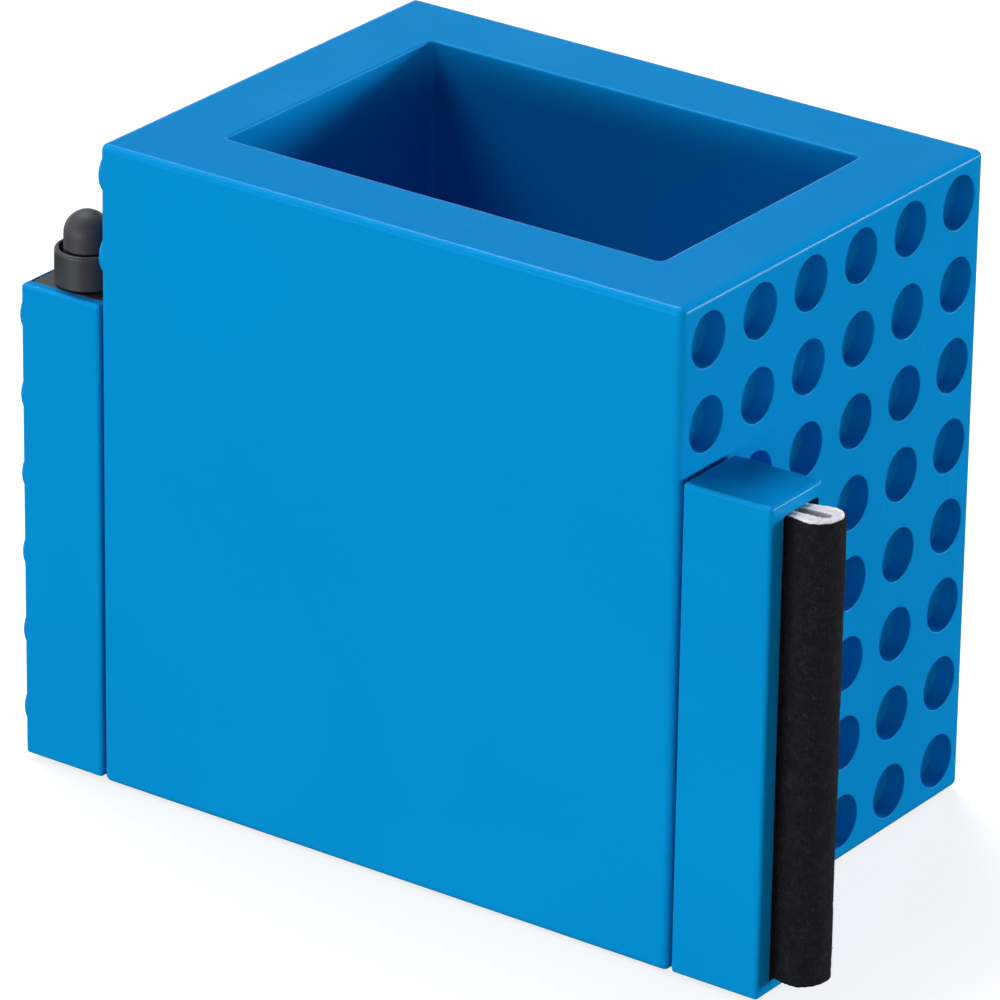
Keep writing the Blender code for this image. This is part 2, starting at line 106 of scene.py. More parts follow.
# Felt pad, folded into a U
PAD_CENTRE = 0.033 * PITCH
PAD_NOSE = 0.57 * PITCH
PAD_HALF_WIDTH, PAD_HALF_NECK = 0.275 * PITCH, 0.225 * PITCH
PAD_LEG = 7.5 * MM
FELT_THICKNESS, LAYER_GAP, FOAM_PROUD = 0.32 * MM, 0.04 * MM, 0.18 * MM
CUT_ROUND = 0.06 * MM
WAVE, RIPPLE = 0.10, 0.035  # in millimetres
RAG, FINE_RAG = 0.09 * MM, 0.05 * MM
FUZZ, FUZZ_PER_METRE = 0.05 * MM, 900.0
FOLD_HALF_GAP, FOLD_GAP_INSET = 0.063 * PITCH, 0.15 * PITCH
NOSE_RISE, NOSE_LIFT = 0.05 * PITCH, 0.03 * PITCH
PAD_LEVELS, NOSE_STEPS, LEG_STEPS = 200, 48, 20

# Loose hairs on the felt
FIBRES, FIBRE_SEED, FIBRE_SPAN = 1500, 11, (0.004, 0.996)
FIBRE_RADIUS, FIBRE_SUNK, FIBRE_LENGTHS = 0.016 * MM, 0.01 * MM, (0.3 * MM, 0.9 * MM)
FIBRE_LIFTS, FIBRE_BEND = (0.02, 0.22), 0.7
FIBRE_TAPER = ((0.0, 1.0), (0.35, 1.0), (0.7, 0.8), (1.0, 0.1))  # shares of length and of radius

# Stylus insert
AXIS_FROM_FACE = 0.55 * PITCH
FLANGE_THICKNESS = 1.2 * MM
BLOCK_WALL, CORE_WALL, SEAT_CORNER = 1.6 * MM, 1.2 * MM, 0.4 * MM
STEM_RADIUS, STEM_FOOT = 2.0 * MM, 0.3 * MM
COLLAR_RADIUS, COLLAR_BORE, COLLAR_HEIGHT = 4.9 * MM, 4.2 * MM, 5.7 * MM
TIP_RADIUS, TIP_WALL, TIP_CENTRE, TIP_FOOT_TOP = 3.52 * MM, 1.2 * MM, 7.8 * MM, 1.3 * MM
LEDGE_LOW, LEDGE_HIGH = 1.6 * MM, 2.4 * MM
CLEARANCE, TIP_FOOT_GAP = 0.3 * MM, 0.2 * MM
ROUND_SIDES = 72

# Camera, from the cup's front left bottom corner
EYE_IN_PITCHES = Vector((50.9966, -63.8104, 40.1122))
CAMERA_AZIMUTH, CAMERA_ELEVATION, CAMERA_ROLL = 35.4148, 24.0744, 0.8889
CAMERA_LENS = 279.697
SENSOR = 36.0

# Colours, linear
BLUE = (0.0015, 0.27, 0.62)
BLACK_PLASTIC = (0.030, 0.031, 0.036)
TIP_RUBBER = (0.028, 0.028, 0.031)
FELT_BLACK = (0.0105, 0.0105, 0.0125)
FIBRE_GREY, LINT_GREY = (0.022, 0.022, 0.027), (0.075, 0.075, 0.082)
# The second foam colour is the foam with painted shade, used for the hollows of its pores
FOAM_WHITE, FOAM_PORE_SHADE = (0.80, 0.78, 0.74), (0.62, 0.585, 0.53)
FOOT_GREY = (0.045, 0.045, 0.05)
STEEL = (0.55, 0.56, 0.58)
DUST_ON_TIP, DUST_ON_FEET = (0.09, 0.09, 0.095), (0.11, 0.11, 0.11)
FLOOR_WHITE = (0.45, 0.45, 0.45)
FLOOR_GLOW, FLOOR_HALF_SIDE = 0.8, 4.0
PLAIN_LIGHT, COOL_LIGHT = (1.0, 1.0, 1.0), (0.95, 0.96, 1.08)

# Each light's azimuth and elevation in degrees, its sides in metres, its power and its colour
LIGHT_DISTANCE = 2.5
LIGHTS = {
    "front_left": (-12, 0.8, (1.6, 0.12), 35, PLAIN_LIGHT),
    "right": (131, 5, (1.1, 0.5), 39, COOL_LIGHT),
    "overhead": (-122, 62, (1.1, 1.1), 49, COOL_LIGHT),
    "edge_glint": (-52, 48, (1.2, 1.2), 15, COOL_LIGHT),
}

# The surroundings' brightness at some heights of a direction, from straight down to straight up
SKY = ((-1.0, 0.03), (-0.04, 0.05), (0.0, 5.0), (0.05, 5.0), (0.13, 0.08), (1.0, 0.03))


# ---------------------------------------------------------------- mesh building


class Skin:
    """Faces laid down patch by patch; patches that meet are welded when the mesh is made."""

    def __init__(self):
        self.builder = bmesh.new()

    def row(self, points):
        return [self.builder.verts.new(point) for point in points]

    def strip(self, first, second, closed=True):
        for step in range(len(first) if closed else len(first) - 1):
            after = (step + 1) % len(first)
            self.builder.faces.new([first[step], first[after], second[after], second[step]])

    def grid(self, rows, closed=False):
        rows = [self.row(points) for points in rows]
        for first, second in zip(rows, rows[1:]):
            self.strip(first, second, closed)
        return rows

    def loft(self, loops, cap_first=False, cap_last=False):
        rows = self.grid(loops, closed=True)
        if cap_first:
            self.builder.faces.new(rows[0])
        if cap_last:
            self.builder.faces.new(rows[-1])

    def make(self, name, material):
        bmesh.ops.remove_doubles(self.builder, verts=self.builder.verts, dist=WELD)
        bmesh.ops.recalc_face_normals(self.builder, faces=self.builder.faces)
        mesh = bpy.data.meshes.new(name)
        self.builder.to_mesh(mesh)
        self.builder.free()
        mesh.shade_smooth()
        piece = bpy.data.objects.new(name, mesh)
        piece.data.materials.append(material)
        bpy.context.scene.collection.objects.link(piece)
        return piece


def quarter(steps=ARC_STEPS):
    return [math.pi / 2 * step / steps for step in range(steps + 1)]


def clamp(value, low, high):
    return min(max(value, low), high)


def placed(axis, level, pair):
    """A 3D point from its coordinate along the axis and the other two, in cyclic order."""
    point = [0.0, 0.0, 0.0]
    point[axis] = level
    point[(axis + 1) % 3], point[(axis + 2) % 3] = pair
    return point


def even_line(low, high, steps):
    return [low + (high - low) * step / steps for step in range(steps + 1)]


def cell_line(low, high, cells, radius=EDGE):
    """Grid lines on which the rays through the discs' points meet the cells' sides.

    The cells are counted down from high, so that the lowest one may be trimmed a little.
    """
    eighth = DISC_SIDES // 8
    start = high - cells * PITCH
    offsets = [math.tan(math.pi / 4 * step / eighth) / 2 for step in range(-eighth, eighth)]
    line = [start + (cell + 0.5 + offset) * PITCH for cell in range(cells) for offset in offsets]
    line.append(high)
    return [clamp(value, low + radius, high - radius) for value in line]


def side_loop(axis, level, lines, inset=0.0):
    """Boundary of a box's flat side, pulled in by inset."""
    along, across = lines[(axis + 1) % 3], lines[(axis + 2) % 3]
    pairs = [(value, across[0]) for value in along[:-1]]
    pairs += [(along[-1], value) for value in across[:-1]]
    pairs += [(value, across[-1]) for value in along[:0:-1]]
    pairs += [(along[0], value) for value in across[:0:-1]]
    return [
        placed(axis, level, (
            clamp(a, along[0] + inset, along[-1] - inset),
            clamp(b, across[0] + inset, across[-1] - inset),
        ))
        for a, b in pairs
    ]


def rounded_box(skin, low, high, lines, open_sides=(), radius=EDGE):
    """Quarter-round edges, ball corners and flat sides, except the sides left open."""
    centres = ([value + radius for value in low], [value - radius for value in high])
    turns = quarter()
    for axis, first, second in product(range(3), (0, 1), (0, 1)):
        b, c = (axis + 1) % 3, (axis + 2) % 3
        centre = (centres[first][b], centres[second][c])
        toward = (2 * first - 1, 2 * second - 1)
        skin.grid([
            [placed(axis, along, (
                centre[0] + toward[0] * radius * math.cos(turn),
                centre[1] + toward[1] * radius * math.sin(turn),
            )) for along in lines[axis]]
            for turn in turns
        ])
    for corner in product((0, 1), repeat=3):
        skin.grid([
            [[
                centres[side][axis] + (2 * side - 1) * radius * share
                for axis, (side, share) in enumerate(zip(corner, (
                    math.cos(rise) * math.cos(turn), math.cos(rise) * math.sin(turn), math.sin(rise)
                )))
            ] for turn in turns]
            for rise in turns
        ])
    for axis, side in product(range(3), (0, 1)):
        if (axis, side) not in open_sides:
            level = (low, high)[side][axis]
            skin.loft(
                [side_loop(axis, level, lines), side_loop(axis, level, lines, SUPPORT)], cap_last=True
            )


def step_profile(rim, depth, fillet):
    """(grow, depth) pairs from a flat surface over a rounded rim and down to a flat floor."""
    over = [(rim * (1 - math.sin(turn)), rim * (1 - math.cos(turn))) for turn in quarter()]
    under = [
        (fillet * (math.cos(turn) - 1), depth - fillet * (1 - math.sin(turn))) for turn in quarter()
    ]
    return [(rim + SUPPORT, 0.0)] + over + under + [(-fillet - SUPPORT, depth)]


def circle(centre, radius, sides, start=0.0):
    turns = [start + 2 * math.pi * step / sides for step in range(sides)]
    return [(centre[0] + radius * math.cos(t), centre[1] + radius * math.sin(t)) for t in turns]


def rounded_rectangle(low, high, corner, steps=(LOFT_STEPS, LOFT_STEPS)):
    """Closed outline begun at the middle of its lowest corner, with so many steps a side."""
    centres = [
        (low[0] + corner, low[1] + corner), (high[0] - corner, low[1] + corner),
        (high[0] - corner, high[1] - corner), (low[0] + corner, high[1] - corner),
    ]

    def on_corner(number, turn):
        centre = centres[number % 4]
        return centre[0] + corner * math.cos(turn), centre[1] + corner * math.sin(turn)

    outline = []
    for number in range(4):
        side_turn = math.pi * (1.5 + number / 2)
        for step in range(CORNER_STEPS):
            outline.append(on_corner(number, side_turn - math.pi / 4 * (1 - step / CORNER_STEPS)))
        start, end = on_corner(number, side_turn), on_corner(number + 1, side_turn)
        straight = steps[number % 2] - 2 * CORNER_STEPS
        for step in range(straight):
            share = step / straight
            outline.append(tuple(a + (b - a) * share for a, b in zip(start, end)))
        for step in range(CORNER_STEPS):
            outline.append(on_corner(number + 1, side_turn + math.pi / 4 * step / CORNER_STEPS))
    return outline


def rectangle_loops(axis, level, inward, low, high, corner, profile, steps=(LOFT_STEPS, LOFT_STEPS)):
    """Loops of a rounded rectangle that grows and sinks as its profile says."""
    return [
        [placed(axis, level + inward * depth, pair) for pair in rounded_rectangle(
            [value - grow for value in low], [value + grow for value in high],
            max(corner + grow, LEAST_CORNER), steps,
        )]
        for grow, depth in profile
    ]


def disc_side(skin, level, inward, lines, radius, profile, edge):
    """Fill a box's X side with one round stud or socket in each grid cell."""
    skin.loft([side_loop(0, level, lines), side_loop(0, level, lines, SUPPORT)])
    ends = [(line[0] + SUPPORT, line[-1] - SUPPORT) for line in lines[1:]]
    cells = [round((line[-1] - line[0] + 2 * edge) / PITCH) for line in lines[1:]]
    start = [line[-1] + edge - count * PITCH for line, count in zip(lines[1:], cells)]
    for column, row in product(range(cells[0]), range(cells[1])):
        centre = [start[0] + (column + 0.5) * PITCH, start[1] + (row + 0.5) * PITCH]
        square = []
        for y, z in circle((0, 0), 1.0, DISC_SIDES):
            reach = PITCH / 2 / max(abs(y), abs(z))
            pair = (centre[0] + y * reach, centre[1] + z * reach)
            square.append(placed(0, level, [clamp(v, *end) for v, end in zip(pair, ends)]))
        discs = [
            [placed(0, level + inward * depth, pair)
             for pair in circle(centre, radius + grow, DISC_SIDES)]
            for grow, depth in profile
        ]
        skin.loft([square] + discs, cap_last=True)


def stud_side(skin, level, lines, edge):
    profile = step_profile(STUD_FILLET, STUD_HEIGHT, STUD_EDGE)
    disc_side(skin, level, -1, lines, STUD_RADIUS, profile, edge)


def socket_side(skin, level, lines, edge):
    profile = step_profile(SOCKET_RIM, SOCKET_DEPTH, SOCKET_FILLET)
    disc_side(skin, level, -1, lines, SOCKET_RADIUS, profile, edge)


def turned(name, material, profile, centre, loop=False, sides=ROUND_SIDES):
    """A body of revolution about a vertical axis through centre, from (radius, height) pairs."""
    skin = Skin()
    rings = [
        [(x, y, centre[2] + height) for x, y in circle(centre, radius, sides)]
        for radius, height in profile
    ]
    if loop:
        rings.append(rings[0])
    skin.loft(rings)
    return skin.make(name, material)


def cut(piece, *cutters):
    """Cut closed guides out of a piece, and remove them."""
    for cutter in cutters:
        modifier = piece.modifiers.new(cutter.name, "BOOLEAN")
        modifier.operation = "DIFFERENCE"
        modifier.solver = "EXACT"
        modifier.object = cutter
    depsgraph = bpy.context.evaluated_depsgraph_get()
    mesh = bpy.data.meshes.new_from_object(piece.evaluated_get(depsgraph))
    piece.modifiers.clear()
    piece.data = mesh
    for cutter in cutters:
        bpy.data.objects.remove(cutter)


def crisp(piece, angle=35):
    """Keep real corners sharp and let the large faces set the shading of small ones."""
    piece.data.set_sharp_from_angle(angle=math.radians(angle))
    modifier = piece.modifiers.new("weighted_normals", "WEIGHTED_NORMAL")
    modifier.keep_sharp = True
    modifier.weight = 100


def dress(piece, body, slot, *nodes):
    """Tie a finished piece to its body and hide the CAD nodes it stands for; the slot argument is not used.
    """
    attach(piece, body)
    if nodes:
        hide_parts(*nodes)
    return piece


# ---------------------------------------------------------------- materials


class Nodes:
    """Short names for building one material's node tree."""

    def __init__(self, name, colour, roughness):
        self.material = bpy.data.materials.new(name)
        self.material.use_nodes = True
        self.tree = self.material.node_tree
        self.shader = self.tree.nodes["Principled BSDF"]
        self.set(**{"Base Color": (*colour, 1.0), "Roughness": roughness})
        self.place = self.tree.nodes.new("ShaderNodeTexCoord").outputs["Object"]

    def set(self, **values):
        for name, value in values.items():
            self.shader.inputs[name].default_value = value

    def add(self, kind, **settings):
        node = self.tree.nodes.new(kind)
        for name, value in settings.items():
            setattr(node, name, value)
        return node

    def link(self, output, target):
        self.tree.links.new(output, target)

    def stretched(self, scale):
        node = self.add("ShaderNodeMapping")
        node.inputs["Scale"].default_value = scale
        self.link(self.place, node.inputs["Vector"])
        return node.outputs["Vector"]

    def noise(self, scale, detail=3.0, roughness=0.5, distortion=0.0, place=None):
        node = self.add("ShaderNodeTexNoise")
        node.inputs["Scale"].default_value = scale
        node.inputs["Detail"].default_value = detail
        node.inputs["Roughness"].default_value = roughness
        node.inputs["Distortion"].default_value = distortion
        self.link(place or self.place, node.inputs["Vector"])
        return node.outputs["Fac"]

    def cells(self, scale, feature="F1", randomness=1.0):
        node = self.add("ShaderNodeTexVoronoi", feature=feature)
        node.inputs["Scale"].default_value = scale
        node.inputs["Randomness"].default_value = randomness
        self.link(self.place, node.inputs["Vector"])
        return node.outputs["Distance"]

    def span(self, value, low, high, to_low, to_high):
        node = self.add("ShaderNodeMapRange")
        names = ("From Min", "From Max", "To Min", "To Max")
        for name, number in zip(names, (low, high, to_low, to_high)):
            node.inputs[name].default_value = number
        self.link(value, node.inputs["Value"])
        return node.outputs["Result"]

    def math(self, operation, first, second):
        node = self.add("ShaderNodeMath", operation=operation)
        for socket, value in zip(node.inputs, (first, second)):
            if isinstance(value, (int, float)):
                socket.default_value = value
            else:
                self.link(value, socket)
        return node.outputs["Value"]

    def mix(self, share, first, second):
        node = self.add("ShaderNodeMix", data_type="RGBA")
        for socket, value in ((node.inputs[6], first), (node.inputs[7], second)):
            if isinstance(value, tuple):
                socket.default_value = (*value, 1.0)
            else:
                self.link(value, socket)
        self.link(share, node.inputs[0])
        return node.outputs[2]

    def bump(self, height, distance, strength=1.0, under=None):
        node = self.add("ShaderNodeBump")
        node.inputs["Distance"].default_value = distance
        node.inputs["Strength"].default_value = strength
        self.link(height, node.inputs["Height"])
        if under is not None:
            self.link(under, node.inputs["Normal"])
        return node.outputs["Normal"]

    def finish(self, colour=None, roughness=None, normal=None):
        for name, output in (("Base Color", colour), ("Roughness", roughness), ("Normal", normal)):
            if output is not None:
                self.link(output, self.shader.inputs[name])
        return self.material


def tinted(colour, factor):
    return tuple(value * factor for value in colour)


def blue_plastic_material():
    """Glossy moulded plastic: faint flow marks, hairline rubs and a slightly uneven gloss."""
    nodes = Nodes("blue_plastic_look", BLUE, 0.2)
    nodes.set(**{"IOR": 1.22, "Specular Tint": (0.0, 0.45, 1.0, 1.0)})
    cloud = nodes.noise(22.0, 4.0, 0.55, 0.6)
    colour = nodes.mix(nodes.span(cloud, 0.3, 0.7, 0.0, 1.0), tinted(BLUE, 0.97), tinted(BLUE, 1.03))
    flow = nodes.noise(1.0, 2.0, 0.5, 1.2, nodes.stretched((9.0, 9.0, 55.0)))
    hairline = nodes.noise(1.0, 2.0, 0.6, 0.3, nodes.stretched((2600.0, 2600.0, 90.0)))
    uneven = nodes.math("ADD", cloud, nodes.math("MULTIPLY", flow, 0.5))
    gloss = nodes.span(uneven, 0.5, 1.0, 0.16, 0.26)
    roughness = nodes.math("ADD", gloss, nodes.span(hairline, 0.62, 0.8, 0.0, 0.10))
    soft = nodes.bump(flow, 0.00006)
    fine = nodes.bump(nodes.noise(900.0, 2.0), 0.0000025, under=soft)
    return nodes.finish(colour, roughness, fine)


def black_plastic_material():
    """Satin black moulding with a spark-eroded grain."""
    nodes = Nodes("black_plastic_look", BLACK_PLASTIC, 0.42)
    cloud = nodes.noise(140.0, 4.0)
    grain = nodes.noise(4200.0, 3.0, 0.7)
    colour = nodes.mix(
        nodes.span(cloud, 0.3, 0.7, 0.0, 1.0), tinted(BLACK_PLASTIC, 0.85), tinted(BLACK_PLASTIC, 1.2)
    )
    roughness = nodes.span(grain, 0.3, 0.7, 0.36, 0.50)
    return nodes.finish(colour, roughness, nodes.bump(grain, 0.00002, 0.6))


def tip_rubber_material():
    """Matt conductive rubber: fine skin texture and a trace of dust."""
    nodes = Nodes("tip_rubber_look", TIP_RUBBER, 0.6)
    nodes.set(**{"Sheen Weight": 0.08, "Sheen Roughness": 0.5})
    skin = nodes.noise(2600.0, 4.0, 0.65)
    dust = nodes.noise(700.0, 5.0, 0.7)
    colour = nodes.mix(nodes.span(dust, 0.55, 0.8, 0.0, 0.5), TIP_RUBBER, DUST_ON_TIP)
    return nodes.finish(colour, nodes.span(skin, 0.3, 0.7, 0.52, 0.68), nodes.bump(skin, 0.00003))


def felt_material():
    """Black needled felt: matted clumps, tangled fibres, a few pale specks of lint, and painted shade that
    darkens the weave's dips against its lighter raised fibres.
    """
    nodes = Nodes("felt_look", FELT_BLACK, 0.95)
    nodes.set(**{"Specular IOR Level": 0.1, "Sheen Weight": 0.05, "Sheen Roughness": 0.6})
    nodes.set(**{"Sheen Tint": (0.55, 0.55, 0.62, 1.0)})
    tangle = nodes.noise(1900.0, 5.0, 0.7, 2.0)
    clump = nodes.noise(620.0, 4.0, 0.65, 1.2)
    strand = nodes.noise(1.0, 3.0, 0.6, 1.5, nodes.stretched((3800.0, 3800.0, 1100.0)))
    weave = nodes.math("ADD", nodes.math("MULTIPLY", tangle, 0.55), nodes.math("MULTIPLY", strand, 0.45))
    # Painted shade: where the weave's bump sinks the felt is painted darker, where it rises lighter
    weave_lit_share = nodes.span(weave, 0.38, 0.64, 0.0, 1.0)
    base = nodes.mix(weave_lit_share, tinted(FELT_BLACK, 0.25), tinted(FELT_BLACK, 2.1))
    matted = nodes.mix(nodes.span(clump, 0.42, 0.62, 0.0, 0.75), base, tinted(FELT_BLACK, 0.45))
    bright, open_felt = nodes.span(strand, 0.63, 0.70, 0.0, 1.0), nodes.span(clump, 0.5, 0.42, 0.0, 0.8)
    colour = nodes.mix(nodes.math("MULTIPLY", bright, open_felt), matted, LINT_GREY)
    coarse = nodes.bump(clump, 0.00022)
    return nodes.finish(colour, None, nodes.bump(weave, 0.00014, under=coarse))


def felt_fibre_material():
    """Loose hairs of the felt, some greyer than others."""
    nodes = Nodes("felt_fibre_look", FIBRE_GREY, 0.9)
    nodes.set(**{"Specular IOR Level": 0.15})
    shade = nodes.noise(900.0, 2.0)
    share = nodes.span(shade, 0.4, 0.6, 0.0, 1.0)
    colour = nodes.mix(share, tinted(FIBRE_GREY, 0.35), tinted(FIBRE_GREY, 1.6))
    return nodes.finish(colour, None, nodes.bump(shade, 0.00001))


def foam_material():
    """White open-cell foam: small pores, with painted shade that makes their hollows darker and a little
    yellower.
    """
    nodes = Nodes("foam_look", FOAM_WHITE, 0.9)
    nodes.set(**{"Specular IOR Level": 0.2, "Subsurface Weight": 0.15, "Subsurface Scale": 0.001})
    pores = nodes.cells(2400.0)
    coarse = nodes.noise(900.0, 4.0, 0.6)
    # Painted shade: the pores' hollows, where the bump sinks, take the darker foam colour
    colour = nodes.mix(nodes.span(pores, 0.0, 0.35, 0.0, 1.0), FOAM_PORE_SHADE, FOAM_WHITE)
    height = nodes.math("ADD", pores, nodes.math("MULTIPLY", coarse, 0.6))
    return nodes.finish(colour, None, nodes.bump(height, 0.00012))


def foot_rubber_material():
    """Dark rubber with a pebbled skin."""
    nodes = Nodes("foot_rubber_look", FOOT_GREY, 0.8)
    pebble = nodes.cells(1500.0, "SMOOTH_F1")
    dust = nodes.noise(400.0, 4.0, 0.7)
    colour = nodes.mix(nodes.span(dust, 0.5, 0.8, 0.0, 0.5), FOOT_GREY, DUST_ON_FEET)
    return nodes.finish(colour, nodes.span(dust, 0.3, 0.7, 0.72, 0.88), nodes.bump(pebble, 0.00006))


def screw_steel_material():
    """Zinc-plated steel: turned rings and faint cloudiness."""
    nodes = Nodes("screw_steel_look", STEEL, 0.35)
    nodes.set(Metallic=1.0)
    cloud = nodes.noise(900.0, 4.0)
    rub = nodes.noise(1.0, 2.0, 0.5, 0.0, nodes.stretched((500.0, 500.0, 9000.0)))
    colour = nodes.mix(nodes.span(cloud, 0.35, 0.7, 0.0, 1.0), tinted(STEEL, 0.8), tinted(STEEL, 1.1))
    return nodes.finish(colour, nodes.span(rub, 0.3, 0.7, 0.26, 0.46), nodes.bump(rub, 0.000008))


# ---------------------------------------------------------------- cup


def make_cup(blue):
    """Double-walled cup: studs on the left, sockets on the right, a well from above."""
    skin = Skin()
    low, high = list(CUP_LOW), list(CUP_HIGH)
    lines = (
        even_line(low[0] + EDGE, high[0] - EDGE, LOFT_STEPS),
        cell_line(low[1], high[1], CUP_ROWS_DEEP),
        cell_line(low[2], high[2], CUP_ROWS_HIGH),
    )
    rounded_box(skin, low, high, lines, open_sides=((0, 0), (0, 1), (2, 0), (2, 1)))
    stud_side(skin, low[0], lines, EDGE)
    socket_side(skin, high[0], lines, EDGE)

    steps = (LOFT_STEPS, len(lines[1]) - 1)
    well_low = [low[axis] + WELL_LOW[axis] for axis in (0, 1)]
    well_high = [low[axis] + WELL_HIGH[axis] for axis in (0, 1)]
    well_depth = high[2] - low[2] - FLOOR_UNDERSIDE - WELL_SKIN
    frame_loops = [side_loop(2, high[2], lines), side_loop(2, high[2], lines, SUPPORT)]
    well = rectangle_loops(
        2, high[2], -1, well_low, well_high, WELL_CORNER,
        step_profile(WELL_RIM, well_depth, WELL_FILLET), steps,
    )
    skin.loft(frame_loops + well, cap_last=True)

    hollow_low = [low[0] + SKIN, low[1] + SKIN]
    hollow_high = [high[0] - SOCKET_WALL, high[1] - SKIN]
    ceiling = high[2] - low[2] - SKIN
    hollow = rectangle_loops(
        2, low[2], 1, hollow_low, hollow_high, HOLLOW_CORNER,
        [(FINE_CHAMFER, 0.0), (0.0, FINE_CHAMFER), (0.0, ceiling)], steps,
    )
    outer_low = [value - WELL_SKIN for value in well_low]
    outer_high = [value + WELL_SKIN for value in well_high]
    around_well = rectangle_loops(
        2, low[2], 1, outer_low, outer_high, WELL_CORNER, [(0.0, ceiling), (0.0, FLOOR_UNDERSIDE)], steps
    )
    rim_loops = [side_loop(2, low[2], lines), side_loop(2, low[2], lines, SUPPORT)]
    skin.loft(rim_loops + hollow + around_well, cap_last=True)
    cup = skin.make("cup_shell_fine", blue)
    cup.data.set_sharp_from_angle(angle=math.radians(40))
    dress(cup, "cup", "blue_plastic", "cup_shell")


def plan_centre(node):
    """X and Y of the middle of a CAD node."""
    low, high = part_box(node)
    return (low.x + high.x) / 2, (low.y + high.y) / 2


def screw_centres():
    return [plan_centre(f"base_screw_{number}") for number in range(1, 5)]


def make_screw_posts(blue):
    """Square posts inside the cup's hollow, each with a pilot hole for a base screw."""
    skin = Skin()
    base = CUP_LOW.z + FLOOR_UNDERSIDE
    for x, y in screw_centres():
        half = POST_SIDE / 2 - POST_GAP
        square = rounded_rectangle((x - half, y - half), (x + half, y + half), POST_CORNER, (16, 16))
        hole = circle((x, y), PILOT_RADIUS, len(square), start=math.pi * 1.25)
        rise = POST_TOP - FLOOR_UNDERSIDE
        loops = [(hole, rise - PILOT_END), (hole, 0.0), (square, 0.0), (square, rise)]
        skin.loft(
            [[(a, b, base + height) for a, b in outline] for outline, height in loops],
            cap_first=True, cap_last=True,
        )
    posts = skin.make("cup_screw_posts", blue)
    crisp(posts)
    dress(posts, "cup", "blue_plastic")


def round_cutter(centre, steps, material):
    """A closed guide for a stepped round hole, from (radius, height) pairs."""
    skin = Skin()
    skin.loft(
        [[(x, y, height) for x, y in circle(centre, radius, CUTTER_SIDES)] for radius, height in steps],
        cap_first=True, cap_last=True,
    )
    return skin.make("guide", material)


def make_base_plate(blue):
    """Flat cover with counterbores for the screws and shallow seats for the feet."""
    low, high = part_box("base_plate")
    skin = Skin()
    lines = tuple(even_line(low[axis] + PLATE_EDGE, high[axis] - PLATE_EDGE, 6) for axis in range(3))
    rounded_box(skin, low, high, lines, radius=PLATE_EDGE)
    plate = skin.make("base_plate_fine", blue)
    cutters = [
        round_cutter(centre, [
            (COUNTERBORE_RADIUS + CHAMFER, low.z - MM), (COUNTERBORE_RADIUS + CHAMFER, low.z),
            (COUNTERBORE_RADIUS, low.z + CHAMFER), (COUNTERBORE_RADIUS, low.z + COUNTERBORE_DEPTH),
            (SHANK_BORE, low.z + COUNTERBORE_DEPTH), (SHANK_BORE, high.z + MM),
        ], blue)
        for centre in screw_centres()
    ]
    cutters += [
        round_cutter(plan_centre(f"foot_{number}"), [
            (FOOT_SEAT_RADIUS + FINE_CHAMFER, low.z - MM), (FOOT_SEAT_RADIUS + FINE_CHAMFER, low.z),
            (FOOT_SEAT_RADIUS, low.z + FINE_CHAMFER), (FOOT_SEAT_RADIUS, low.z + FOOT_SEAT_DEPTH),
        ], blue)
        for number in range(1, 5)
    ]
    cut(plate, *cutters)
    crisp(plate)
    dress(plate, "cup", "blue_plastic", "base_plate")


def screw_profile(head, length):
    """(radius, height) pairs from the middle of the domed head to the point."""
    root = SCREW_SHANK * THREAD_ROOT
    profile = [(head * math.sin(turn), SCREW_DOME * (1 - math.cos(turn))) for turn in quarter(10)]
    profile += [(head, SCREW_SEAT - EDGE_BREAK), (head - EDGE_BREAK, SCREW_SEAT), (root, SCREW_SEAT)]
    threads = int((length - SCREW_SEAT - SCREW_POINT - EDGE_BREAK) / THREAD_PITCH)
    for turn in range(threads):
        base = SCREW_SEAT + THREAD_START + turn * THREAD_PITCH
        profile += [(root, base), (SCREW_SHANK, base + THREAD_RISE), (SCREW_SHANK, base + THREAD_CREST_END)]
    return profile + [(root, length - SCREW_POINT), (0.0, length)]


def make_screw(number, steel):
    """Pan-head screw, seen from below: a domed head with a tapered cross recess."""
    node = f"base_screw_{number}"
    low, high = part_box(node)
    x, y = plan_centre(node)
    profile = screw_profile((high.x - low.x) / 2, high.z - low.z)
    screw = turned(f"{node}_fine", steel, profile, (x, y, low.z), sides=CUTTER_SIDES)
    for arm in CROSS_ARMS:
        guide = Skin()
        loops = []
        for shrink, height in CROSS_TAPER:
            a, b = [value * MM * shrink for value in arm]
            corners = [(-a, -b), (a, -b), (a, b), (-a, b)]
            loops.append([(x + across, y + along, low.z + height) for across, along in corners])
        guide.loft(loops, cap_first=True, cap_last=True)
        cut(screw, guide.make("guide", steel))
    crisp(screw)
    dress(screw, "cup", "screw_steel", node)


def make_foot(number, rubber):
    """Round stick-on foot with a soft edge and a shallow dish underneath."""
    node = f"foot_{number}"
    low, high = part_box(node)
    radius, height = (high.x - low.x) / 2, high.z - low.z
    profile = [(radius * out, FOOT_DISH * deep) for out, deep in FOOT_HOLLOW]
    profile += [
        (radius - FOOT_EDGE * (1 - math.sin(turn)), FOOT_EDGE * (1 - math.cos(turn)))
        for turn in quarter()
    ]
    profile += [(radius, height - FINE_CHAMFER), (radius - FINE_CHAMFER, height), (0.0, height)]
    foot = turned(f"{node}_fine", rubber, profile, (*plan_centre(node), low.z))
    dress(foot, "cup", "foot_rubber", node)


# ---------------------------------------------------------------- eraser block


def block_lines(low, high):
    return (
        even_line(low[0] + BLOCK_EDGE, high[0] - BLOCK_EDGE, 8),
        cell_line(low[1], high[1], 1, BLOCK_EDGE),
        cell_line(low[2], high[2], BLOCK_ROWS_HIGH, BLOCK_EDGE),
    )


